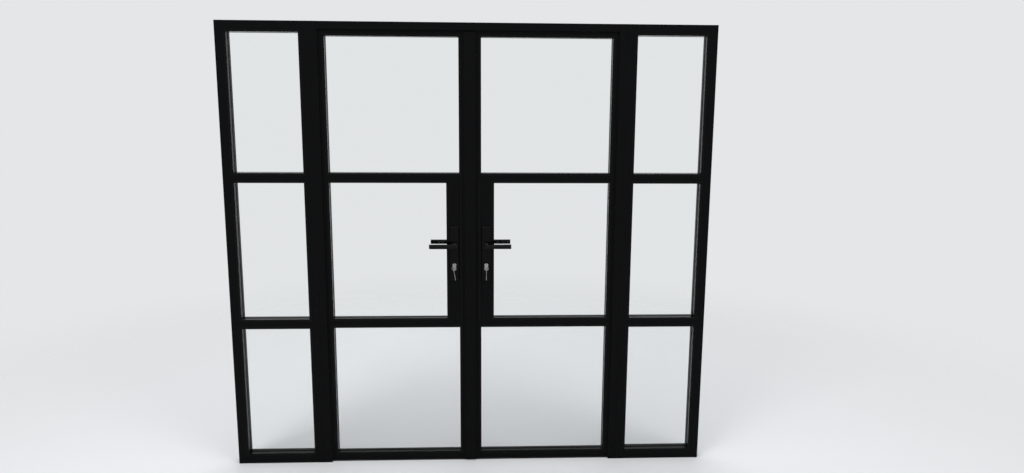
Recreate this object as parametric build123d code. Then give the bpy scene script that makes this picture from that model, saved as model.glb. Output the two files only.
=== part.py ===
from build123d import *
import os
from math import radians, sin

# A glazed double door set in black powder-coated aluminium bars: two leaves that
# open away from the viewer, between two fixed sidelights, in one frame.
# Millimetres. X runs along the set, Y through it (the hinges are on +Y), Z up.
# The origin is on the floor, midway between the leaves and midway through the frame.

# The whole set
set_width = 2156.0
set_height = 2000.0
set_depth = 57.0
sidelight_width = 396.5

# The bars
bar_wall = 2.5
bar_edge_radius = 0.8
stile_face = 47.0
transom_face = 44.5
foot_rail_face = 36.0
lower_transom_base = 647.5
upper_transom_base = 1310.5
leaf_depth = 45.0

# The glazing
rebate = 13.0
glass_thickness = 6.0
glass_cover = 10.0
gasket_lip = 3.0
gasket_setback = 1.0
bead_edge = 1.5
bead_joint = 0.6

# The door frame and its gaps
jamb_body = 9.5
jamb_face = 33.0
stop_lip_depth = 9.0
seal_width = 9.0
seal_overhang = 6.0
seal_clearance = 0.3
cover_width = 50.0
cover_end_gap = 1.0
cover_foot_inset = 1.0
cover_foot_width = 8.0
leaf_side_gap = 3.0
meeting_gap = 4.0
threshold_height = 5.0
leaf_foot_gap = 2.0

# The hinges
hinge_from_end = 220.0
hinge_height = 100.0
hinge_leaf_knuckle = 40.0
hinge_barrel_radius = 8.0
hinge_pin_radius = 4.0
hinge_pin_clearance = 0.05
hinge_plate_thickness = 4.0
hinge_door_plate_width = 26.0
hinge_frame_plate_width = 32.0
hinge_stand_off = 0.5
hinge_play = 0.3
hinge_cap_height = 3.0

# The lock
lock_backset = 70.0
lock_box_width = 57.5
lever_height = 1032.0
cylinder_drop = 92.0
case_depth = 84.0
case_thickness = 15.0
case_above_lever = 54.0
case_below_cylinder = 39.0
case_play = 0.5
forend_width = 20.0
forend_height = 235.0
forend_thickness = bar_wall
forend_play = 0.2
latch_height = 16.0
latch_width = 12.0
latch_throw = 11.0
latch_rise = 20.0
latch_nose = 2.0
latch_tail_width = 8.0
latch_tail_height = 12.0
deadbolt_height = 20.0
deadbolt_width = 10.0
deadbolt_throw = 20.0
deadbolt_rise = 35.0
deadbolt_length = 44.0
bolt_play = 0.4
strike_play = 1.0

# The shootbolts of the right leaf
bolt_inset = 25.0
bolt_radius = 5.0
bolt_rod_width = 8.0
bolt_rod_thickness = 5.0
bolt_tip_length = 45.0
bolt_case_entry = 15.0
bolt_set_back = 1.0
head_keep_depth = 7.0
keep_play = 0.6

# Handles, cylinders and keys
plate_width = 42.0
plate_height = 250.0
plate_above_lever = 83.0
plate_thickness = 8.0
plate_edge = 2.0
plate_corner_radius = 3.0
neck_radius = 9.0
neck_play = 0.2
neck_seat = 5.0
lever_reach = 111.0
lever_thickness = 19.0
lever_crown = 5.0
lever_depth = 22.0
lever_stand_off = 36.0
lever_tip_radius = 9.0
lever_edge = 1.0
spindle_side = 8.0
spindle_play = 0.1
follower_radius = 10.0
follower_arm = 20.0
follower_arm_width = 5.0
follower_arm_angle = 20.0
follower_arm_play = 1.5
euro_radius = 8.5
euro_web = 10.0
euro_height = 33.0
euro_proud = 2.0
euro_play = 0.4
plug_radius = 6.5
plug_play = 0.1
cam_width = 10.0
cam_radius = 15.0
cam_hub_radius = 8.0
cam_play = 0.4
key_thickness = 2.2
key_blade = 8.0
key_blade_length = 25.0
key_bow_width = 24.0
key_bow_length = 25.0
key_hole_radius = 3.0
key_hole_edge = 6.0
key_slot_play = 0.1
ring_radius = 9.0
ring_wire = 1.0
ring_play = 0.7
ring_lean = 5.0
spare_key_lean = 9.0

# The fixing holes in the outer stiles
fixing_radius = 4.25
fixing_from_end = 200.0
fixing_middle_spacing = 400.0
fixing_from_front = 12.0

# Places worked out from the sizes
frame_front = -set_depth / 2
frame_back = set_depth / 2
leaf_back = frame_back
leaf_front = leaf_back - leaf_depth
leaf_middle = (leaf_front + leaf_back) / 2
set_edge = set_width / 2
sidelight_inner_edge = set_edge - sidelight_width
leaf_hinge_edge = sidelight_inner_edge - jamb_body - leaf_side_gap
leaf_meeting_edge = meeting_gap / 2
leaf_foot = threshold_height + leaf_foot_gap
leaf_top = set_height - jamb_body - leaf_side_gap
body_face = stile_face - rebate
lock_axis = leaf_meeting_edge + lock_backset
lock_box_edge = leaf_meeting_edge + stile_face + lock_box_width
cylinder_height = lever_height - cylinder_drop
case_top = lever_height + case_above_lever
case_foot = cylinder_height - case_below_cylinder
case_front_edge = leaf_meeting_edge + forend_thickness
case_back_edge = case_front_edge + case_depth
forend_middle = (case_top + case_foot) / 2
latch_middle = lever_height + latch_rise
deadbolt_middle = cylinder_height + deadbolt_rise
hinge_heights = (hinge_from_end, set_height / 2, set_height - hinge_from_end)
hinge_axis_x = leaf_hinge_edge + leaf_side_gap / 2
hinge_axis_y = leaf_back + hinge_stand_off + hinge_barrel_radius
plate_top = lever_height + plate_above_lever
plate_foot = plate_top - plate_height
bolt_line = leaf_meeting_edge + bolt_inset
fixing_heights = (
    fixing_from_end,
    (set_height - fixing_middle_spacing) / 2,
    (set_height + fixing_middle_spacing) / 2,
    set_height - fixing_from_end,
)


def block(x_span, y_span, z_span):
    spans = (x_span, y_span, z_span)
    size = [abs(high - low) for low, high in spans]
    middle = [(low + high) / 2 for low, high in spans]
    return Pos(*middle) * Box(*size)


def around(middle, width):
    return (middle - width / 2, middle + width / 2)


def round_along_y(radius, x, z, y_span):
    length = y_span[1] - y_span[0]
    return Pos(x, sum(y_span) / 2, z) * Rot(90, 0, 0) * Cylinder(radius, length)


def round_upright(radius, x, y, z_span):
    length = z_span[1] - z_span[0]
    return Pos(x, y, sum(z_span) / 2) * Cylinder(radius, length)


def group(pieces):
    return Compound(children=list(pieces))


def on_right(piece):
    return mirror(piece, about=Plane.YZ)


# Bars: a hollow body with a leg along its back, which reaches out as far as the face.
# In front of the leg is the rebate that takes the gasket, the glass and the bead.


class Profile:
    """The depths of one bar system: its faces, and where its glass stands."""

    def __init__(self, front, back):
        self.front = front
        self.back = back
        self.glass = ((front + back) / 2 - glass_thickness / 2, (front + back) / 2 + glass_thickness / 2)
        self.gasket = (self.glass[0] - gasket_lip, self.glass[1] + gasket_lip)
        self.leg = (self.gasket[1], back)
        self.bead = (front, self.gasket[0])


frame_profile = Profile(frame_front, frame_back)
leaf_profile = Profile(leaf_front, leaf_back)


def section(profile, face, rebate_low, rebate_high, inset=0.0):
    leg = Pos(face / 2, sum(profile.leg) / 2) * Rectangle(
        face - 2 * inset, profile.leg[1] - profile.leg[0] - 2 * inset
    )
    body_width = face - rebate_low - rebate_high
    body = Pos(rebate_low + body_width / 2, (profile.front + profile.back) / 2) * Rectangle(
        body_width - 2 * inset, profile.back - profile.front - 2 * inset
    )
    return leg + body


def rounded_section(profile, face, rebate_low, rebate_high):
    outline = section(profile, face, rebate_low, rebate_high)
    faces = (profile.front, profile.back)
    corners = [v for v in outline.vertices() if min(abs(v.Y - y) for y in faces) < 1e-6]
    return fillet(corners, bar_edge_radius)


def bar(profile, face, length, rebate_low=0.0, rebate_high=rebate):
    """A capped hollow bar that stands on the floor, with its outer edge at x = 0."""
    solid = extrude(rounded_section(profile, face, rebate_low, rebate_high), length)
    hollow = extrude(section(profile, face, rebate_low, rebate_high, bar_wall), length - 2 * bar_wall)
    return solid - Pos(0, 0, bar_wall) * hollow


def upright(profile, outer_x, inward, z_span):
    """A stile whose rebate faces along inward, +1 or -1 in X."""
    piece = bar(profile, stile_face, z_span[1] - z_span[0])
    if inward < 0:
        piece = mirror(piece, about=Plane.YZ)
    return Pos(outer_x, 0, z_span[0]) * piece


def rail(profile, face, stile_edges, base, rebate_low, rebate_high):
    """A rail between two stiles, cut short at the back so that it fits their legs."""
    low, high = stile_edges[0] + body_face, stile_edges[1] - body_face
    piece = bar(profile, face, high - low, rebate_low, rebate_high)
    piece = Pos(low, 0, base) * Rot(Y=90) * mirror(piece, about=Plane.YZ)
    tall = (base - 1, base + face + 1)
    for leg in ((low - 1, stile_edges[0] + stile_face), (stile_edges[1] - stile_face, high + 1)):
        piece -= block(leg, profile.leg, tall)
    return piece


def grown(span, margin):
    return (span[0] - margin, span[1] + margin)


def pane(profile, opening):
    x_span, z_span = opening
    return block(grown(x_span, glass_cover), profile.glass, grown(z_span, glass_cover))


def gasket(profile, opening):
    """A channel that wraps the edge of the pane and fills the foot of the rebate."""
    x_span, z_span = opening
    ring = block(grown(x_span, rebate), profile.gasket, grown(z_span, rebate))
    ring -= block(grown(x_span, gasket_setback), profile.gasket, grown(z_span, gasket_setback))
    return ring - pane(profile, opening)


def bead_bar(profile, across, length):
    """One snap-in bead along X, its sight edge up and bevelled in front."""
    strip = block((0, length), profile.bead, (0, across))
    sight_edge = strip.edges().filter_by(Axis.X).sort_by(lambda e: e.center().Z - e.center().Y)[-1]
    strip = chamfer(sight_edge, bead_edge)
    joint_edge = strip.edges().filter_by(Axis.X).sort_by(lambda e: e.center().Z + e.center().Y)[0]
    return chamfer(joint_edge, bead_joint)


def beads(profile, opening):
    x_span, z_span = opening
    outer = grown(x_span, rebate)
    level = bead_bar(profile, rebate, outer[1] - outer[0])
    upright_bead = Rot(Y=-90) * bead_bar(profile, rebate, z_span[1] - z_span[0])
    return [
        Pos(outer[0], 0, z_span[0] - rebate) * level,
        Pos(outer[0], 0, z_span[1] + rebate) * mirror(level, about=Plane.XY),
        Pos(x_span[1] + rebate, 0, z_span[0]) * upright_bead,
        Pos(x_span[0] - rebate, 0, z_span[0]) * mirror(upright_bead, about=Plane.YZ),
    ]


# The left sidelight stands at the set's left edge, and the right one is its mirror.


def sidelight():
    edges = (-set_edge, -sidelight_inner_edge)
    full = (0.0, set_height)
    outer = upright(frame_profile, edges[0], +1, full)
    for height in fixing_heights:
        y = frame_front + fixing_from_front
        hole = Pos(edges[0] + body_face / 2, y, height) * Rot(0, 90, 0)
        outer -= hole * Cylinder(fixing_radius, body_face + 2)
    foot = rail(frame_profile, stile_face, edges, 0.0, 0.0, rebate)
    head = rail(frame_profile, stile_face, edges, set_height - stile_face, rebate, 0.0)
    transoms = [
        rail(frame_profile, transom_face, edges, base, rebate, rebate)
        for base in (lower_transom_base, upper_transom_base)
    ]
    across = (edges[0] + stile_face, edges[1] - stile_face)
    clear = [
        (across, (stile_face, lower_transom_base)),
        (across, (lower_transom_base + transom_face, upper_transom_base)),
        (across, (upper_transom_base + transom_face, set_height - stile_face)),
    ]
    return {
        "outer_stile": outer,
        "inner_stile": upright(frame_profile, edges[1], -1, full),
        "rails": [foot, head],
        "transoms": transoms,
        "panes": [pane(frame_profile, o) for o in clear],
        "gaskets": [gasket(frame_profile, o) for o in clear],
        "beads": [piece for o in clear for piece in beads(frame_profile, o)],
    }


# The door frame: a thin body round the leaves, with a lip in front that they close to.


def frame_strip(length):
    """A frame bar that stands on the floor, its outer edge at x = 0 and lip towards +X."""
    lip = (frame_front, frame_front + stop_lip_depth)
    depth = (frame_front, frame_back)
    solid = block((0, jamb_face), lip, (0, length)) + block((0, jamb_body), depth, (0, length))
    edges = solid.edges().filter_by(Axis.Z)
    front = [e for e in edges if abs(e.center().Y - frame_front) < 1e-6]
    solid = fillet(front, bar_edge_radius)
    inside = (bar_wall, length - bar_wall)
    solid -= block((bar_wall, jamb_face - bar_wall), grown(lip, -bar_wall), inside)
    return solid - block((bar_wall, jamb_body - bar_wall), grown(depth, -bar_wall), inside)


def door_jamb():
    return Pos(-sidelight_inner_edge, 0, 0) * frame_strip(set_height)


def frame_head():
    length = 2 * (sidelight_inner_edge - jamb_body)
    strip = Rot(0, 90, 0) * frame_strip(length)
    strip = Pos(-length / 2, 0, set_height) * strip
    lip = (frame_front, frame_front + stop_lip_depth)
    for side in (-1, 1):
        lip_end = (side * (sidelight_inner_edge - jamb_face), side * sidelight_inner_edge)
        strip -= block(lip_end, lip, (set_height - jamb_face, set_height))
    keep = (set_height - jamb_body, set_height - jamb_body + head_keep_depth)
    boss_z = (keep[0], set_height - bar_wall)
    boss = round_upright(bolt_radius + keep_play + bar_wall, bolt_line, leaf_middle, boss_z)
    return strip + boss - round_upright(bolt_radius + keep_play, bolt_line, leaf_middle, keep)


def threshold():
    half = sidelight_inner_edge - jamb_body
    plate = block((-half, half), (leaf_front, leaf_back), (0, threshold_height))
    long_edges = plate.edges().filter_by(Axis.X).group_by(Axis.Z)[-1]
    plate = chamfer(long_edges, threshold_height / 2)
    return plate - round_upright(bolt_radius + keep_play, bolt_line, leaf_middle, (0, threshold_height))


def stop_seals():
    """Soft strips on the back of the lip that show past its edge, at the two jambs and the head."""
    back = frame_front + stop_lip_depth
    depth = (back, leaf_front - seal_clearance)
    edge = sidelight_inner_edge - jamb_face - seal_overhang
    side_x = (edge, edge + seal_width)
    top = set_height - jamb_face - seal_overhang
    right = block(side_x, depth, (leaf_foot, top))
    head = block((-side_x[1], side_x[1]), depth, (top, top + seal_width))
    return [on_right(right), right, head]


# The cover strip: a T-shaped bar on the front of the right leaf's meeting stile, which
# hides the gap. It stands in front of the left leaf too, so the left leaf opens first.


def cover_heights():
    """From the foot of the leaf to just under the seal that hangs below the head's lip."""
    return (leaf_foot, set_height - jamb_face - seal_overhang - cover_end_gap)


def meeting_cover():
    z_span = cover_heights()
    depth = (frame_front, frame_front + stop_lip_depth)
    strip = block(around(0, cover_width), depth, z_span)
    front = strip.edges().filter_by(Axis.Z).group_by(Axis.Y)[0]
    strip = fillet(front, bar_edge_radius)
    inside = around(0, cover_width - 2 * bar_wall)
    strip -= block(inside, grown(depth, -bar_wall), grown(z_span, -bar_wall))
    foot_x = leaf_meeting_edge + cover_foot_inset
    return strip + block((foot_x, foot_x + cover_foot_width), (depth[1], leaf_front), z_span)


def meeting_seals():
    """Soft strips on the back of the cover that show past its two edges."""
    depth = (frame_front + stop_lip_depth, leaf_front - seal_clearance)
    outer = cover_width / 2 + seal_overhang
    right = block((outer - seal_width, outer), depth, cover_heights())
    return [right, on_right(right)]


# The hinges: three to a leaf, with two frame knuckles and one leaf knuckle on a pin.


def plate_span(direction, width):
    near = -hinge_axis_x + direction * (hinge_barrel_radius + hinge_play)
    return tuple(sorted((near, near + direction * width)))


def hinge_plate(direction, width, z_span):
    depth = (leaf_back, leaf_back + hinge_plate_thickness)
    plate = block(plate_span(direction, width), depth, z_span)
    far = [
        e for e in plate.edges().filter_by(Axis.Y)
        if direction * (e.center().X + hinge_axis_x) > hinge_barrel_radius + 1
    ]
    return fillet(far, hinge_plate_thickness)


def knuckle_tongue(direction, z_span):
    depth = (leaf_back, leaf_back + hinge_plate_thickness)
    plate_edge = -hinge_axis_x + direction * (hinge_barrel_radius + hinge_play)
    return block((-hinge_axis_x, plate_edge), depth, z_span)


def pin_bore(clearance, z_span):
    return round_upright(hinge_pin_radius + clearance, -hinge_axis_x, hinge_axis_y, z_span)


def hinge_door_part(height):
    full = around(height, hinge_height)
    knuckle = around(height, hinge_leaf_knuckle - 2 * hinge_play)
    piece = hinge_plate(+1, hinge_door_plate_width, full) + knuckle_tongue(+1, knuckle)
    piece += round_upright(hinge_barrel_radius, -hinge_axis_x, hinge_axis_y, knuckle)
    return piece - pin_bore(hinge_pin_clearance, full)


def hinge_frame_part(height):
    full = around(height, hinge_height)
    half_gap = hinge_leaf_knuckle / 2
    piece = hinge_plate(-1, hinge_frame_plate_width, full)
    for knuckle in ((full[0], height - half_gap), (height + half_gap, full[1])):
        piece += knuckle_tongue(-1, knuckle)
        piece += round_upright(hinge_barrel_radius, -hinge_axis_x, hinge_axis_y, knuckle)
    return piece - pin_bore(0, full)


def hinge_pin(height):
    full = around(height, hinge_height)
    piece = pin_bore(0, grown(full, hinge_cap_height))
    for cap in ((full[0] - hinge_cap_height, full[0]), (full[1], full[1] + hinge_cap_height)):
        head = round_upright(hinge_barrel_radius, -hinge_axis_x, hinge_axis_y, cap)
        rim = head.edges().group_by(Axis.Z)[0 if cap[0] < height else -1]
        piece += chamfer(rim, hinge_cap_height / 3)
    return piece


# The leaves. The left one is drawn, and the right one is its mirror but for the lock.


def case_pocket():
    x_span = (-case_back_edge - case_play, -leaf_meeting_edge)
    y_span = around(leaf_middle, case_thickness + 2 * case_play)
    return block(x_span, y_span, grown((case_foot, case_top), case_play))


def forend_pocket():
    x_span = (-case_front_edge, -leaf_meeting_edge)
    width = around(leaf_middle, forend_width + 2 * forend_play)
    return block(x_span, width, around(forend_middle, forend_height + 2 * forend_play))


def euro_prism(play, y_span, x=-lock_axis, z=cylinder_height):
    """The keyhole-shaped bar of a profile cylinder, grown all round by play."""
    web = euro_web / 2 + play
    foot_z = z - euro_height + euro_radius + euro_web / 2
    shape = round_along_y(euro_radius + play, x, z, y_span)
    shape += block((x - web, x + web), y_span, (foot_z, z))
    return shape + round_along_y(web, x, foot_z, y_span)


def lock_box_heights():
    return (lower_transom_base + transom_face, upper_transom_base)


def lock_box():
    """The wide box beside the meeting stile, between the transoms, that holds the lock."""
    z_span = lock_box_heights()
    over = grown(z_span, rebate)
    stile_edge = -leaf_meeting_edge - stile_face
    front = ((-lock_box_edge + rebate, stile_edge), (leaf_front, leaf_profile.leg[0]), over)
    back = ((-lock_box_edge, stile_edge), leaf_profile.leg, z_span)
    through = grown((leaf_front, leaf_back), 1)
    solid = block(*front) + block(*back)
    solid += block((stile_edge, stile_edge + rebate), leaf_profile.gasket, over)
    core = (front[0], (leaf_front, leaf_back), z_span)
    for part in (front, back, core):
        solid -= block(*(grown(span, -bar_wall) for span in part))
    solid -= case_pocket()
    solid -= round_along_y(neck_radius + neck_play, -lock_axis, lever_height, through)
    return solid - euro_prism(euro_play, through)


def lock_box_bead():
    """The bead that covers the joint between the lock box and the meeting stile."""
    x_edge = -leaf_meeting_edge - body_face
    low, high = grown(lock_box_heights(), rebate)
    strip = Rot(Y=-90) * bead_bar(leaf_profile, rebate, high - low)
    return Pos(x_edge, 0, low) * strip - case_pocket()


def leaf():
    edges = (-leaf_hinge_edge, -leaf_meeting_edge)
    full = (leaf_foot, leaf_top)
    meeting = upright(leaf_profile, edges[1], -1, full) - case_pocket() - forend_pocket()
    foot = rail(leaf_profile, foot_rail_face, edges, leaf_foot, 0.0, rebate)
    head = rail(leaf_profile, stile_face, edges, leaf_top - stile_face, rebate, 0.0)
    transoms = [
        rail(leaf_profile, transom_face, edges, base, rebate, rebate)
        for base in (lower_transom_base, upper_transom_base)
    ]
    wide = (edges[0] + stile_face, edges[1] - stile_face)
    narrow = (wide[0], -lock_box_edge)
    clear = [
        (wide, (leaf_foot + foot_rail_face, lower_transom_base)),
        (narrow, (lower_transom_base + transom_face, upper_transom_base)),
        (wide, (upper_transom_base + transom_face, leaf_top - stile_face)),
    ]
    return {
        "hinge_stile": upright(leaf_profile, edges[0], +1, full),
        "meeting_stile": meeting,
        "top_rail": head,
        "bottom_rail": foot,
        "transoms": transoms,
        "lock_box": lock_box(),
        "panes": [pane(leaf_profile, o) for o in clear],
        "gaskets": [gasket(leaf_profile, o) for o in clear],
        "beads": [piece for o in clear for piece in beads(leaf_profile, o)] + [lock_box_bead()],
    }


# Lock parts, drawn for the left leaf.


def forend():
    x_span = (-case_front_edge, -leaf_meeting_edge)
    plate = block(x_span, around(leaf_middle, forend_width), around(forend_middle, forend_height))
    return fillet(plate.edges().filter_by(Axis.X), forend_width / 4)


def lock_case_blank():
    x_span = (-case_back_edge, -case_front_edge)
    solid = block(x_span, around(leaf_middle, case_thickness), (case_foot, case_top))
    through = around(leaf_middle, case_thickness + 2)
    solid -= round_along_y(follower_radius + neck_play, -lock_axis, lever_height, through)
    solid -= euro_prism(euro_play, through)
    cam_room = around(leaf_middle, cam_width + 2 * cam_play)
    return solid - round_along_y(cam_radius + cam_play, -lock_axis, cylinder_height, cam_room)


def channel(width, height, middle, x_span):
    """A straight way through the case for a bolt, with the bolt's play all round."""
    y_span = around(leaf_middle, width + 2 * bolt_play)
    return block(x_span, y_span, around(middle, height + 2 * bolt_play))


def latch_notch():
    """The notch in the latch's tail, midway in the arm's swing when the latch is half drawn."""
    return around(lock_axis - latch_throw / 2, follower_arm_width + 2 * follower_arm_play)


def latch_tail_end():
    return latch_notch()[1] + follower_arm_width / 2


def arm_sweep():
    """Room in the case for the follower's arm and the tail that it pulls."""
    width = around(leaf_middle, latch_tail_width + 2 * bolt_play)
    reach = latch_tail_end() + latch_throw + 2 * bolt_play
    top = latch_middle + latch_tail_height / 2 + bolt_play
    near = lock_axis - follower_arm
    return block((-reach, -near), width, (lever_height, top))


def left_lock_case():
    front = -case_front_edge
    solid = lock_case_blank()
    room = latch_throw + 4 * bolt_play
    solid -= channel(latch_width, latch_height, latch_middle, (front - latch_width - room, front))
    tail = (-latch_tail_end() - room, front)
    solid -= channel(latch_tail_width, latch_tail_height, latch_middle, tail)
    solid -= arm_sweep()
    bolt_room = (front - deadbolt_length - bolt_play, front)
    return solid - channel(deadbolt_width, deadbolt_height, deadbolt_middle, bolt_room)


def left_forend():
    x_span = (-case_front_edge, -leaf_meeting_edge)
    plate = forend() - channel(latch_width, latch_height, latch_middle, x_span)
    return plate - channel(deadbolt_width, deadbolt_height, deadbolt_middle, x_span)


def latch_bolt():
    """A bevelled head and a thin tail with a notch that the follower's arm pulls."""
    tip = -leaf_meeting_edge + latch_throw
    head_end = -case_front_edge - latch_width
    low, high = around(leaf_middle, latch_width)
    shoulder = tip - latch_throw + bolt_play
    bevel = ((shoulder, low), (tip, high - latch_nose), (tip, high))
    outline = Polyline((head_end, low), *bevel, (head_end, high), close=True)
    head = Pos(0, 0, latch_middle - latch_height / 2) * extrude(make_face(outline), latch_height)
    tail_z = around(latch_middle, latch_tail_height)
    tail = block((-latch_tail_end(), head_end), around(leaf_middle, latch_tail_width), tail_z)
    notch_x = tuple(-x for x in reversed(latch_notch()))
    notch_top = lever_height + follower_arm + 2 * bolt_play
    notch = block(notch_x, around(leaf_middle, latch_width), (tail_z[0] - 1, notch_top))
    return head + (tail - notch)


def deadbolt():
    tip = -leaf_meeting_edge - bolt_play
    body = block(
        (tip - deadbolt_length + forend_thickness, tip),
        around(leaf_middle, deadbolt_width),
        around(deadbolt_middle, deadbolt_height),
    )
    return chamfer(body.faces().sort_by(Axis.X)[-1].edges(), 0.6)


def spindle(has_arm):
    """The square bar through both levers, and the follower that it turns."""
    reach = lever_stand_off - lever_depth / 2
    y_span = (leaf_front - plate_thickness - reach, leaf_back + plate_thickness + reach)
    square = block(around(-lock_axis, spindle_side), y_span, around(lever_height, spindle_side))
    hub = round_along_y(follower_radius, -lock_axis, lever_height, around(leaf_middle, case_thickness))
    if has_arm:
        arm = block(around(0, follower_arm_width), around(0, latch_tail_width), (0, follower_arm))
        hub += Pos(-lock_axis, leaf_middle, lever_height) * Rot(0, follower_arm_angle, 0) * arm
    hole = around(-lock_axis, spindle_side + 2 * spindle_play)
    hub -= block(hole, y_span, around(lever_height, spindle_side + 2 * spindle_play))
    return [square, hub]


def lever_section():
    """Flat below and crowned on top, in the YZ plane."""
    half_depth = lever_depth / 2
    crown = lever_thickness / 2
    front = ((-half_depth, crown - lever_crown), (-half_depth, -crown))
    back = ((half_depth, -crown), (half_depth, crown - lever_crown))
    top = ThreePointArc(back[1], (0, crown), front[0])
    return Plane.YZ * make_face(Polyline(*front, *back) + top)


def lever():
    """The front lever: a crowned bar on a round neck, its outer tip corner rounded off."""
    middle_y = leaf_front - plate_thickness - lever_stand_off
    tip = -lock_axis - lever_reach
    grip = Pos(tip, middle_y, lever_height) * extrude(lever_section(), lever_reach + neck_radius)
    upright_edges = grip.edges().filter_by(Axis.Z)
    outer_tip = upright_edges.group_by(Axis.X)[0].sort_by(Axis.Y)[0]
    grip = fillet(outer_tip, lever_tip_radius)
    near_end = grip.edges().filter_by(Axis.Z).group_by(Axis.X)[-1]
    grip = fillet(near_end, neck_radius - 1)
    grip = chamfer(grip.faces().sort_by(Axis.Z)[0].edges(), lever_edge)
    neck_y = (middle_y, leaf_front - plate_thickness + neck_seat)
    neck = round_along_y(neck_radius, -lock_axis, lever_height, neck_y)
    socket_y = (middle_y + lever_depth / 2 - spindle_play, leaf_front)
    socket = block(
        around(-lock_axis, spindle_side + 2 * spindle_play),
        socket_y,
        around(lever_height, spindle_side + 2 * spindle_play),
    )
    return grip + neck - socket


def other_side(piece):
    """The same piece on the back of the leaf."""
    return Pos(0, 2 * leaf_middle, 0) * mirror(piece, about=Plane.XZ)


def backplate():
    y_span = (leaf_front - plate_thickness, leaf_front)
    plate = block(around(-lock_axis, plate_width), y_span, (plate_foot, plate_top))
    plate = fillet(plate.edges().filter_by(Axis.Y), plate_corner_radius)
    plate = chamfer(plate.faces().sort_by(Axis.Y)[0].edges(), plate_edge)
    plate -= round_along_y(neck_radius + neck_play, -lock_axis, lever_height, y_span)
    return plate - euro_prism(euro_play, y_span)


def cylinder_body():
    """The lock cylinder, bored for the turning plug in front and slotted for the cam."""
    ends = (leaf_front - plate_thickness - euro_proud, leaf_back + plate_thickness + euro_proud)
    body = euro_prism(0, ends)
    cam_slot = around(leaf_middle, cam_width)
    across = grown((-lock_axis - euro_radius, -lock_axis + euro_radius), 1)
    slot_foot = cylinder_height - cam_radius - cam_play
    body -= block(across, cam_slot, (slot_foot, cylinder_height + euro_radius + 1))
    body -= round_along_y(plug_radius + plug_play, -lock_axis, cylinder_height, (ends[0], cam_slot[0]))
    back_keyway = block(
        around(-lock_axis, key_thickness + 2 * key_slot_play),
        (ends[1] - key_blade_length, ends[1]),
        around(cylinder_height, key_blade + 2 * key_slot_play),
    )
    return body - back_keyway


def plug():
    """The front plug with its keyway, and the cam on its inner end."""
    front = leaf_front - plate_thickness - euro_proud
    cam_y = around(leaf_middle, cam_width - 2 * plug_play)
    solid = round_along_y(plug_radius, -lock_axis, cylinder_height, (front, cam_y[0]))
    solid += round_along_y(cam_hub_radius, -lock_axis, cylinder_height, cam_y)
    finger_z = (cylinder_height - cam_radius, cylinder_height)
    finger = block(around(-lock_axis, cam_hub_radius), cam_y, finger_z)
    solid += finger & round_along_y(cam_radius, -lock_axis, cylinder_height, cam_y)
    slot = block(
        around(-lock_axis, key_thickness + 2 * key_slot_play),
        (front, front + key_blade_length),
        around(cylinder_height, key_blade + 2 * key_slot_play),
    )
    return solid - slot


def key_shape():
    """A key in the YZ plane, its shoulder at the origin and its bow towards -Y."""
    thick = around(0, key_thickness)
    blade = block(thick, (0, key_blade_length - key_slot_play), around(0, key_blade))
    cuts = ((4.0, 1.6), (8.5, 2.6), (13.0, 1.2), (17.5, 2.2))
    for place, depth in cuts:
        blade -= block(grown(thick, 1), around(place, 2.4), (key_blade / 2 - depth, key_blade))
    bow = block(thick, (-key_bow_length, 0), around(0, key_bow_width))
    bow = fillet(bow.edges().filter_by(Axis.X), key_bow_width / 2 - 4)
    hole_y = -key_bow_length + key_hole_edge
    hole = Pos(0, hole_y, 0) * Rot(0, 90, 0) * Cylinder(key_hole_radius, key_thickness + 2)
    return bow + blade - hole


def key_in_lock():
    front = leaf_front - plate_thickness - euro_proud
    return Pos(-lock_axis, front, cylinder_height) * key_shape()


def key_hole_y():
    return leaf_front - plate_thickness - euro_proud - key_bow_length + key_hole_edge


def spare_key(ring_turn, key_turn):
    """A split ring through the bow of the key in the lock, with a second key on it."""
    contact = key_hole_radius - ring_wire - ring_play
    wire = Rectangle(2 * ring_wire, 2 * ring_wire)
    ring = Pos(0, 0, -ring_radius) * revolve(Pos(ring_radius, 0) * wire, Axis.Y)
    hung = Rot(90, 0, 0) * Pos(0, key_bow_length - key_hole_edge, 0) * key_shape()
    hung = Pos(0, 0, -contact) * Rot(180, 0, 0) * hung
    hung = Pos(0, 0, -2 * ring_radius) * Rot(0, key_turn - ring_turn, 0) * hung
    place = Pos(-lock_axis, key_hole_y(), cylinder_height - contact) * Rot(0, ring_turn, 0)
    return [place * ring, place * hung]


# Parts of the right leaf's lock, drawn on the right.


def strike_pocket(width, height, middle, depth):
    y_span = around(leaf_middle, width + 2 * strike_play)
    x_span = (leaf_meeting_edge, leaf_meeting_edge + depth + strike_play)
    return block(x_span, y_span, around(middle, height + 2 * strike_play))


def strike_pockets():
    latch_depth = latch_throw - meeting_gap
    deadbolt_depth = deadbolt_throw - meeting_gap
    pocket = strike_pocket(latch_width, latch_height, latch_middle, latch_depth)
    return pocket + strike_pocket(deadbolt_width, deadbolt_height, deadbolt_middle, deadbolt_depth)


def rod_way(z_span):
    x_span = around(bolt_line, bolt_rod_width + 2 * bolt_play)
    return block(x_span, around(leaf_middle, bolt_rod_thickness + 2 * bolt_play), z_span)


def right_lock_case():
    solid = on_right(lock_case_blank()) - strike_pockets()
    top = case_top - bolt_case_entry - bolt_play
    foot = case_foot + bolt_case_entry + bolt_play
    return solid - rod_way((top, case_top)) - rod_way((case_foot, foot))


def bolt_hole(z_span):
    return round_upright(bolt_radius + bolt_play / 2, bolt_line, leaf_middle, z_span)


def right_meeting_stile(mirrored_stile):
    piece = mirrored_stile - bolt_hole((leaf_top - bar_wall, leaf_top))
    return piece - bolt_hole((leaf_foot, leaf_foot + bar_wall))


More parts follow.
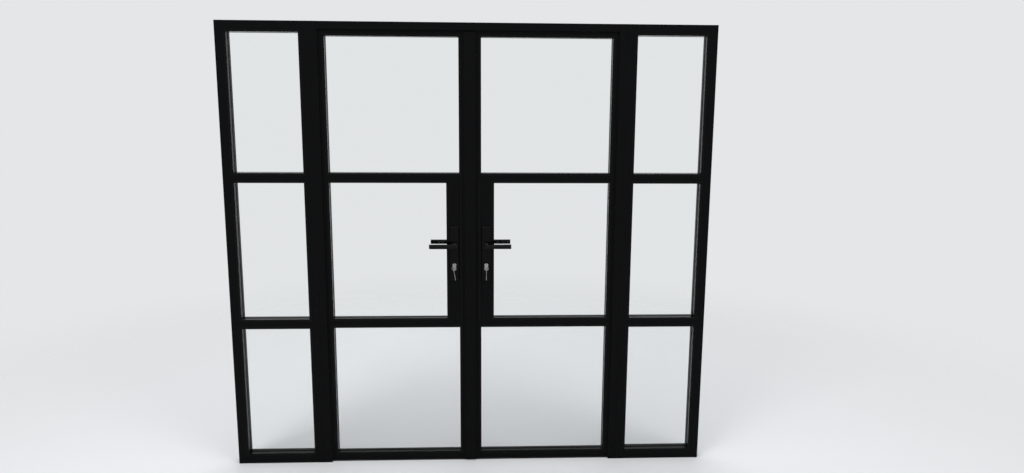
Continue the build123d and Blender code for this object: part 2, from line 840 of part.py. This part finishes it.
def shootbolt(tip, case_end, upward):
    """A round bolt tip on a flat rod that runs inside the stile to the lock case."""
    tip_foot = tip - upward * bolt_tip_length
    tip_span = tuple(sorted((tip, tip_foot)))
    rod_end = case_end - upward * bolt_case_entry
    rod_span = tuple(sorted((tip_foot, rod_end)))
    end = round_upright(bolt_radius, bolt_line, leaf_middle, tip_span)
    rim = end.edges().group_by(Axis.Z)[-1 if upward > 0 else 0]
    end = chamfer(rim, 1)
    rod = block(around(bolt_line, bolt_rod_width), around(leaf_middle, bolt_rod_thickness), rod_span)
    return end + rod


def nodes():
    parts = {}
    panel = sidelight()
    for side, place in (("left", lambda p: p), ("right", on_right)):
        for name in ("outer_stile", "inner_stile"):
            parts[f"{side}_sidelight_{name}"] = place(panel[name])
        for name in ("rails", "transoms", "panes"):
            parts[f"{side}_sidelight_{name}"] = group(place(p) for p in panel[name])
    for name in ("gaskets", "beads"):
        both = panel[name] + [on_right(p) for p in panel[name]]
        parts[f"sidelight_{name}"] = group(both)
    parts["door_jambs"] = group([door_jamb(), on_right(door_jamb())])
    parts["door_frame_head"] = frame_head()
    parts["threshold"] = threshold()
    parts["stop_seals"] = group(stop_seals())
    frame_parts = [hinge_frame_part(z) for z in hinge_heights]
    parts["hinge_frame_plates"] = group(frame_parts + [on_right(p) for p in frame_parts])
    pins = [hinge_pin(z) for z in hinge_heights]
    parts["hinge_pins"] = group(pins + [on_right(p) for p in pins])
    door_parts = [hinge_door_part(z) for z in hinge_heights]

    one_leaf = leaf()
    plates = [backplate(), other_side(backplate())]
    levers = [lever(), other_side(lever())]
    for side, place in (("left", lambda p: p), ("right", on_right)):
        for name in ("hinge_stile", "meeting_stile", "top_rail", "bottom_rail", "lock_box"):
            parts[f"{side}_leaf_{name}"] = place(one_leaf[name])
        for name in ("transoms", "panes", "gaskets", "beads"):
            parts[f"{side}_leaf_{name}"] = group(place(p) for p in one_leaf[name])
        parts[f"{side}_hinge_knuckles"] = group(place(p) for p in door_parts)
        parts[f"{side}_backplates"] = group(place(p) for p in plates)
        parts[f"{side}_lever_handles"] = group(place(p) for p in levers)
        parts[f"{side}_spindle"] = group(place(p) for p in spindle(side == "left"))
        parts[f"{side}_cylinder_body"] = place(cylinder_body())
        parts[f"{side}_key_plug"] = place(plug())
        parts[f"{side}_key"] = place(key_in_lock())
    parts["left_spare_key"] = group(spare_key(ring_lean, -spare_key_lean))
    parts["right_spare_key"] = group(on_right(p) for p in spare_key(0.0, 0.0))

    right_stile = right_meeting_stile(parts["right_leaf_meeting_stile"])
    parts["right_leaf_meeting_stile"] = group([right_stile, meeting_cover()])
    right_gaskets = [on_right(p) for p in one_leaf["gaskets"]]
    parts["right_leaf_gaskets"] = group(right_gaskets + meeting_seals())
    parts["left_lock_case"] = left_lock_case()
    parts["left_forend"] = left_forend()
    parts["right_lock_case"] = right_lock_case()
    parts["right_forend"] = on_right(forend()) - strike_pockets()
    parts["latch_bolt"] = latch_bolt()
    parts["deadbolt"] = deadbolt()
    parts["top_shootbolt"] = shootbolt(leaf_top - bolt_set_back, case_top, +1)
    parts["bottom_shootbolt"] = shootbolt(leaf_foot + bolt_set_back, case_foot, -1)
    return parts


os.makedirs("parts", exist_ok=True)
for node, shape in nodes().items():
    export_step(shape, f"parts/{node}.step")
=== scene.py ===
import math

import bmesh
import bpy
from mathutils import Matrix, Vector


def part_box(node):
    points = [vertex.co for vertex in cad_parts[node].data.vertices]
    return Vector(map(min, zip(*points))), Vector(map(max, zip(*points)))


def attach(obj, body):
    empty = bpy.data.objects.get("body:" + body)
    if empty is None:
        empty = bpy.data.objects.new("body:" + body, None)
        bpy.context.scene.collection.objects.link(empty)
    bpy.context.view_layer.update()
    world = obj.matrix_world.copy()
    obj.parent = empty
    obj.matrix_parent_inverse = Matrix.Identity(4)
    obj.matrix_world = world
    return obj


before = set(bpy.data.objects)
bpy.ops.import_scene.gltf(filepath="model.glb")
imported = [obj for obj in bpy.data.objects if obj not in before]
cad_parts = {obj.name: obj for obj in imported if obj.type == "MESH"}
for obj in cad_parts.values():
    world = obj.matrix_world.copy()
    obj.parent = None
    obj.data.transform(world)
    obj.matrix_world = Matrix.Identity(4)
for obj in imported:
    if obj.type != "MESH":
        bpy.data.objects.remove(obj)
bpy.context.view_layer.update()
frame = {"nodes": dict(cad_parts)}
nodes = frame["nodes"]


# The bars: extruded aluminium stiles, rails, transoms and snap-in glazing beads of the
# sidelights and the leaves, and the door frame round the leaves. They are cut to length
# and then powder-coated matt black, so the coat is even and has a faint orange peel.
class Value:
    """One output socket of a node tree, which takes part in sums."""

    def __init__(self, nodes, socket):
        self.nodes = nodes
        self.socket = socket

    def _with(self, operation, *terms):
        return self.nodes.node("ShaderNodeMath", {"operation": operation}, dict(enumerate(terms)))

    def __add__(self, other):
        return self._with("ADD", self, other)

    def __sub__(self, other):
        return self._with("SUBTRACT", self, other)

    def __mul__(self, other):
        return self._with("MULTIPLY", self, other)

    def __rsub__(self, other):
        return self._with("SUBTRACT", other, self)

    __radd__ = __add__
    __rmul__ = __mul__

    def about(self, middle, swing):
        """Cloudy variation moved from 0.5 to another middle, with that swing."""
        return (self - 0.5) * swing + middle

    def above(self, edge, blur):
        """0 below the edge and 1 above it, with a soft step of the blur's width."""
        settings = {"interpolation_type": "SMOOTHSTEP"}
        inputs = {"Value": self, "From Min": edge - blur / 2, "From Max": edge + blur / 2}
        return self.nodes.node("ShaderNodeMapRange", settings, inputs, "Result")


class Nodes:
    """The nodes of one tree, made and linked in one place."""

    def __init__(self, tree):
        self.tree = tree

    def node(self, kind, settings=None, inputs=None, output=0):
        """A new node of that kind, as the value of one of its outputs."""
        made = self.tree.nodes.new(kind)
        for name, value in (settings or {}).items():
            setattr(made, name, value)
        for name, value in (inputs or {}).items():
            self.feed(made.inputs[name], value)
        return Value(self, made.outputs[output])

    def feed(self, socket, value):
        """Links a value to the socket, or sets a number or colour on it."""
        if isinstance(value, Value):
            self.tree.links.new(value.socket, socket)
        else:
            socket.default_value = value


class Finish(Nodes):
    """A material whose surface is one Principled shader."""

    def __init__(self, name):
        self.material = bpy.data.materials.new(name)
        self.material.use_nodes = True
        super().__init__(self.material.node_tree)
        self.shader = self.tree.nodes["Principled BSDF"]

    def noise(self, scale, detail=3.0, stretch=(1.0, 1.0, 1.0)):
        """Cloudy variation about 0.5, with scale cycles to a metre."""
        place = self.node("ShaderNodeTexCoord", output="Object")
        where = self.node("ShaderNodeMapping", {}, {"Vector": place, "Scale": stretch})
        inputs = {"Vector": where, "Scale": scale, "Detail": detail}
        return self.node("ShaderNodeTexNoise", {}, inputs, "Fac")

    def mix(self, factor, low, high):
        """One colour or another, by the factor."""
        return self.node("ShaderNodeMix", {"data_type": "RGBA"}, {0: factor, 6: low, 7: high}, 2)

    def bump(self, height, distance):
        """The normal of a surface that the height raises by up to the distance."""
        return self.node("ShaderNodeBump", {}, {"Height": height, "Distance": distance}, "Normal")

    def surface(self, **sockets):
        """Sets or feeds the shader's sockets, named in small letters with underscores."""
        for name, value in sockets.items():
            socket_name = name.replace("_", " ").title().replace("Ior", "IOR")
            self.feed(self.shader.inputs[socket_name], value)

    def dress(self, *names):
        """Puts the finish on CAD nodes."""
        for name in names:
            materials = nodes[name].data.materials
            materials.clear()
            materials.append(self.material)


coat_cloud_scale, coat_peel_scale, coat_grain_scale = 3.0, 900.0, 2600.0
coat_darkest, coat_lightest = 0.85, 1.2
coat_unevenness = 0.06
coat_peel_share, coat_grain_share = 0.6, 0.4
coat_relief = 0.00006


def powder_coat(name, colour, roughness, specular_level):
    """A baked coat with slow clouds of tone and gloss, an orange peel and a fine grain."""
    coat = Finish(name)
    cloud = coat.noise(coat_cloud_scale)
    tones = (coat_darkest, coat_lightest)
    dark, light = (tuple(tone * part for part in colour) + (1.0,) for tone in tones)
    peel = coat.noise(coat_peel_scale, detail=2.0)
    grain = coat.noise(coat_grain_scale, detail=2.0)
    uneven = (cloud - 0.5) * coat_unevenness + (grain - 0.5) * coat_unevenness
    coat.surface(
        base_color=coat.mix(cloud, dark, light),
        roughness=uneven + roughness,
        specular_ior_level=specular_level,
        normal=coat.bump(peel * coat_peel_share + grain * coat_grain_share, coat_relief),
    )
    return coat


bar_words = ("stile", "rail", "transoms", "lock_box")
bars = [name for name in nodes if any(word in name for word in bar_words)]
bar_black, bead_black = (0.0022, 0.0023, 0.0026), (0.0018, 0.0019, 0.0021)
bar_coat = powder_coat("bar_coat", bar_black, roughness=0.34, specular_level=0.055)
bar_coat.dress("door_jambs", "door_frame_head", *bars)
bead_coat = powder_coat("bead_coat", bead_black, roughness=0.12, specular_level=0.08)
bead_coat.dress(*[name for name in nodes if name.endswith("beads")])


# The rubber: extruded black gaskets that bed the panes, and the stop seals and the
# cover's seals that the leaves close against. They are pushed into place dry, and matt.
rubber_dark = (0.003, 0.003, 0.003, 1.0)
rubber_light = (0.005, 0.005, 0.005, 1.0)
rubber_relief = 0.00004
rubber = Finish("black_rubber")
rubber_cloud = rubber.noise(scale=40.0, detail=4.0)
rubber_skin = rubber.noise(scale=1500.0)
rubber.surface(
    base_color=rubber.mix(rubber_cloud, rubber_dark, rubber_light),
    roughness=rubber_cloud.about(middle=0.75, swing=0.1),
    specular_ior_level=0.08,
    normal=rubber.bump(rubber_skin, rubber_relief),
)
rubber.dress("stop_seals", *[name for name in nodes if name.endswith("gaskets")])


# The panes: clear toughened float glass, held in the gaskets by the beads. Toughening
# leaves it a very faint roller wave, which only the reflections show.
roller_wave_height = 0.0001
glass = Finish("clear_glass")
roller_wave = glass.noise(scale=6.0, detail=1.0, stretch=(0.3, 1.0, 1.0))
glass.surface(
    base_color=(0.97, 0.985, 0.98, 1.0),
    roughness=0.0,
    transmission_weight=1.0,
    ior=1.45,
    normal=glass.bump(roller_wave, roller_wave_height),
)
glass.dress(*[name for name in nodes if name.endswith("panes")])


# The threshold: a low aluminium bar between the jambs, dark anodised, scuffed along its
# length by feet, and fixed down with six countersunk nickel-plated screws.
sill_dark = (0.012, 0.012, 0.013, 1.0)
sill_scuffed = (0.035, 0.035, 0.036, 1.0)
sill = Finish("dark_anodised_sill")
scuffs = sill.noise(scale=60.0, detail=5.0, stretch=(0.15, 1.0, 1.0))
sill.surface(
    base_color=sill.mix(scuffs.above(edge=0.62, blur=0.2), sill_dark, sill_scuffed),
    metallic=0.3,
    roughness=scuffs.about(middle=0.42, swing=0.2),
    specular_ior_level=0.3,
)
sill.dress("threshold")

nickel_relief = 0.00002
nickel = Finish("satin_nickel")
brushing = nickel.noise(scale=400.0, detail=4.0, stretch=(1.0, 1.0, 0.05))
nickel.surface(
    base_color=(0.54, 0.525, 0.50, 1.0),
    metallic=1.0,
    roughness=brushing.about(middle=0.26, swing=0.15),
    normal=nickel.bump(brushing, nickel_relief),
)

screw_sides, recess_sides = 24, 12
head_height, recess_radius, recess_depth = 0.12, 0.45, 0.5
edge_taper = 0.85
lobe_waist = 0.72


def screw_heads(name, body, finish, turn, radius, places):
    """Countersunk heads with a six-lobed recess, at those places, facing as the turn says.

    The head's height and the recess's radius and depth are shares of the head's radius.
    """
    height = head_height * radius
    recess = recess_radius * radius
    rings = (
        (screw_sides, radius, 0.0),
        (screw_sides, edge_taper * radius, height),
        (recess_sides, recess, height),
        (recess_sides, edge_taper * recess, -recess_depth * radius),
    )
    heads = bmesh.new()
    for place in places:
        edges = []
        for sides, ring_radius, level in rings:
            ring = bmesh.ops.create_circle(heads, segments=sides, radius=ring_radius)["verts"]
            if sides == recess_sides:
                waist = (lobe_waist, lobe_waist, 1.0)
                bmesh.ops.scale(heads, verts=ring[::2], vec=waist)
            spot = Matrix.Translation(place) @ turn @ Matrix.Translation((0, 0, level))
            bmesh.ops.transform(heads, verts=ring, matrix=spot)
            edges.append(list({edge for corner in ring for edge in corner.link_edges}))
        for outer, inner in zip(edges, edges[1:]):
            bmesh.ops.bridge_loops(heads, edges=outer + inner)
        for end in (edges[-1], edges[0]):
            bmesh.ops.contextual_create(heads, geom=end)
    bmesh.ops.recalc_face_normals(heads, faces=heads.faces)
    data = bpy.data.meshes.new(name)
    heads.to_mesh(data)
    heads.free()
    data.materials.append(finish.material)
    piece = bpy.data.objects.new(name, data)
    bpy.context.scene.collection.objects.link(piece)
    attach(piece, body)


sill_screw_radius = 0.0042
sill_screw_count = 6
facing_up = Matrix.Identity(4)
low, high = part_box("threshold")
middle_y = (low[1] + high[1]) / 2
gap = (high[0] - low[0]) / sill_screw_count
places = [(low[0] + (i + 0.5) * gap, middle_y, high[2]) for i in range(sill_screw_count)]
screw_heads(
    "threshold_screws", "frame", nickel, facing_up, sill_screw_radius, places
)


# The hinges: pressed steel plates with rolled knuckles, coated black like the bars, on
# nickel-plated pins. Each plate is screwed to its stile with four countersunk screws.
fitting_black = (0.0022, 0.0022, 0.0025)
handle_coat = powder_coat("handle_coat", fitting_black, roughness=0.14, specular_level=0.08)
handle_coat.dress("hinge_frame_plates", "left_hinge_knuckles", "right_hinge_knuckles")
nickel.dress("hinge_pins")

hinge_middles = (0.220, 1.000, 1.780)
hinge_plate_face = 0.0325
hinge_axis = 0.6705
knuckle_reach = 0.0083
frame_plate_width, leaf_plate_width = 0.032, 0.026
hinge_screw_radius = 0.0038
hinge_screw_rises = ((-0.038, 0.3), (-0.014, 0.7), (0.014, 0.7), (0.038, 0.3))
facing_back = Matrix.Rotation(-math.pi / 2, 4, "X")
leaf_sides = (("left", -1), ("right", 1))


def plate_places(side, direction, width):
    """Screw places on one side's three plates, each at a height and a share of the width."""
    near = side * hinge_axis + direction * knuckle_reach
    return [
        (near + direction * share * width, hinge_plate_face, middle + rise)
        for middle in hinge_middles
        for rise, share in hinge_screw_rises
    ]


def black_screw_heads(name, body, radius, places):
    """Black screw heads that face the back."""
    screw_heads(name, body, handle_coat, facing_back, radius, places)


places = plate_places(-1, -1, frame_plate_width) + plate_places(1, 1, frame_plate_width)
black_screw_heads("hinge_frame_screws", "frame", hinge_screw_radius, places)
for name, side in leaf_sides:
    places = plate_places(side, -side, leaf_plate_width)
    black_screw_heads(f"{name}_hinge_screws", f"{name}_leaf", hinge_screw_radius, places)


# The locks: mortise cases in the lock boxes, with nickel-plated forends screwed to the
# edges of the leaves, plated bolts, and a profile cylinder held by a long screw.
nickel_words = ("cylinder_body", "key_plug", "bolt", "forend", "lock_case", "spindle")
nickel.dress(*[name for name in nodes if any(word in name for word in nickel_words)])

forend_screw_radius = 0.0036
forend_screw_inset = 0.009
cylinder_screw_height = 0.9173
for name, side in leaf_sides:
    low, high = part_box(f"{name}_forend")
    edge_x = high[0] if side < 0 else low[0]
    middle_y = (low[1] + high[1]) / 2
    heights = (low[2] + forend_screw_inset, cylinder_screw_height, high[2] - forend_screw_inset)
    places = [(edge_x, middle_y, height) for height in heights]
    outwards = Matrix.Rotation(-side * math.pi / 2, 4, "Y")
    screws, leaf = f"{name}_forend_screws", f"{name}_leaf"
    screw_heads(screws, leaf, nickel, outwards, forend_screw_radius, places)


# The handles: die-cast levers and backplates with a smooth satin black coat. Two bolts
# clamp the pair of plates through the leaf, and their heads show only at the back.
handle_coat.dress("left_backplates", "right_backplates")
lever_coat = powder_coat("lever_coat", fitting_black, roughness=0.10, specular_level=0.12)
lever_coat.surface(sheen_weight=0.3, sheen_roughness=0.2)
lever_coat.dress("left_lever_handles", "right_lever_handles")

plate_screw_radius = 0.0042
plate_screw_inset = 0.014
for name, side in leaf_sides:
    low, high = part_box(f"{name}_backplates")
    middle_x = (low[0] + high[0]) / 2
    heights = (low[2] + plate_screw_inset, high[2] - plate_screw_inset)
    places = [(middle_x, high[1], height) for height in heights]
    black_screw_heads(f"{name}_plate_screws", f"{name}_leaf", plate_screw_radius, places)


# The keys: flat steel keys, nickel-plated and worn bright on their bows, one in each
# cylinder and one hung from it on a split ring.
key_dull = (0.26, 0.25, 0.24, 1.0)
key_worn = (0.44, 0.42, 0.40, 1.0)
key_relief = 0.00003
key_metal = Finish("key_nickel")
key_wear = key_metal.noise(scale=90.0, detail=4.0)
key_metal.surface(
    base_color=key_metal.mix(key_wear.above(edge=0.55, blur=0.3), key_dull, key_worn),
    metallic=1.0,
    roughness=key_wear.about(middle=0.30, swing=0.2),
    normal=key_metal.bump(key_wear, key_relief),
)
key_metal.dress("left_key", "right_key", "left_spare_key", "right_spare_key")


# The floor, which isn't part of the doors: a round pale sheet that keeps their shadow and
# thins out into the backdrop, so that no horizon shows.
backdrop = (0.78, 0.79, 0.80, 1.0)
floor_sides, floor_radius = 96, 14.0
fade_from, fade_over = 1.1, 3.2
floor_mesh = bmesh.new()
bmesh.ops.create_circle(floor_mesh, cap_ends=True, segments=floor_sides, radius=floor_radius)
floor_data = bpy.data.meshes.new("floor")
floor_mesh.to_mesh(floor_data)
floor_mesh.free()
floor = bpy.data.objects.new("floor", floor_data)
bpy.context.scene.collection.objects.link(floor)
paper = Finish("pale_floor")
paper.surface(base_color=backdrop, roughness=0.9, specular_ior_level=0.2)
place = paper.node("ShaderNodeTexCoord", output="Object")
distance = paper.node("ShaderNodeVectorMath", {"operation": "LENGTH"}, {0: place}, "Value")
faded = distance.above(fade_from + fade_over / 2, fade_over)
solid = Value(paper, paper.shader.outputs["BSDF"])
clear = paper.node("ShaderNodeBsdfTransparent")
blend = paper.node("ShaderNodeMixShader", {}, {0: faded, 1: solid, 2: clear})
paper.feed(paper.tree.nodes["Material Output"].inputs["Surface"], blend)
floor_data.materials.append(paper.material)


# The light: a plain pale room all round, which the camera, the glass and the metal see as
# the backdrop, and four soft lamps. The two in front leave no bright patch on the coat.
room_colour = (0.92, 0.94, 0.96, 1.0)
room_strength = 0.56
world = bpy.data.worlds.new("world")
bpy.context.scene.world = world
world.use_nodes = True
sky = Nodes(world.node_tree)
seen = sky.node("ShaderNodeLightPath", output="Is Camera Ray")
mirrored = sky.node("ShaderNodeLightPath", output="Is Glossy Ray")
seen_through = sky.node("ShaderNodeLightPath", output="Is Transmission Ray")
shown = seen + mirrored + seen_through
room = sky.node("ShaderNodeBackground", {}, {"Color": room_colour, "Strength": room_strength})
behind = sky.node("ShaderNodeBackground", {}, {"Color": backdrop, "Strength": 1.0})
around = sky.node("ShaderNodeMixShader", {}, {0: shown, 1: room, 2: behind})
sky.feed(sky.tree.nodes["World Output"].inputs["Surface"], around)


lamp_target = Vector((0, 0, 1.0))
square, strip = (3.0, 3.0), (4.5, 1.5)


def soft_lamp(name, place, size, power, in_gloss):
    """A rectangular lamp aimed at the middle of the doors, unseen through the glass."""
    light = bpy.data.lights.new(name, "AREA")
    light.shape = "RECTANGLE"
    light.size, light.size_y = size
    light.energy = power
    lamp = bpy.data.objects.new(name, light)
    lamp.location = place
    lamp.rotation_euler = (lamp_target - Vector(place)).to_track_quat("-Z", "Y").to_euler()
    lamp.visible_transmission = False
    lamp.visible_glossy = in_gloss
    bpy.context.scene.collection.objects.link(lamp)


soft_lamp("key_light", (-3.6, -5.0, 4.6), square, 187.0, in_gloss=False)
soft_lamp("fill_light", (4.2, -4.2, 4.0), square, 100.0, in_gloss=False)
soft_lamp("back_light", (0.0, 2.4, 3.4), strip, 50.0, in_gloss=True)
soft_lamp("top_light", (0.0, -0.6, 3.6), strip, 25.0, in_gloss=True)


# The camera: at the photograph's viewing angle, from standing height and a little over
# three metres away, looking slightly down, with the photograph's small roll.
sensor_width, focal_length = 36.0, 26.37
camera_place = (0.0458, -3.3448, 1.641)
yaw, pitch, roll = math.radians(2.43712), math.radians(-9.7273), math.radians(0.33894)
camera_data = bpy.data.cameras.new("camera")
camera_data.sensor_width = sensor_width
camera_data.lens = focal_length
camera = bpy.data.objects.new("camera", camera_data)
bpy.context.scene.collection.objects.link(camera)
turn = Matrix.Rotation(-yaw, 3, "Z") @ Matrix.Rotation(math.pi / 2 + pitch, 3, "X")
turn = turn @ Matrix.Rotation(roll, 3, "Z")
camera.matrix_world = Matrix.Translation(camera_place) @ turn.to_4x4()
bpy.context.scene.camera = camera
bpy.context.scene.view_settings.view_transform = "Standard"
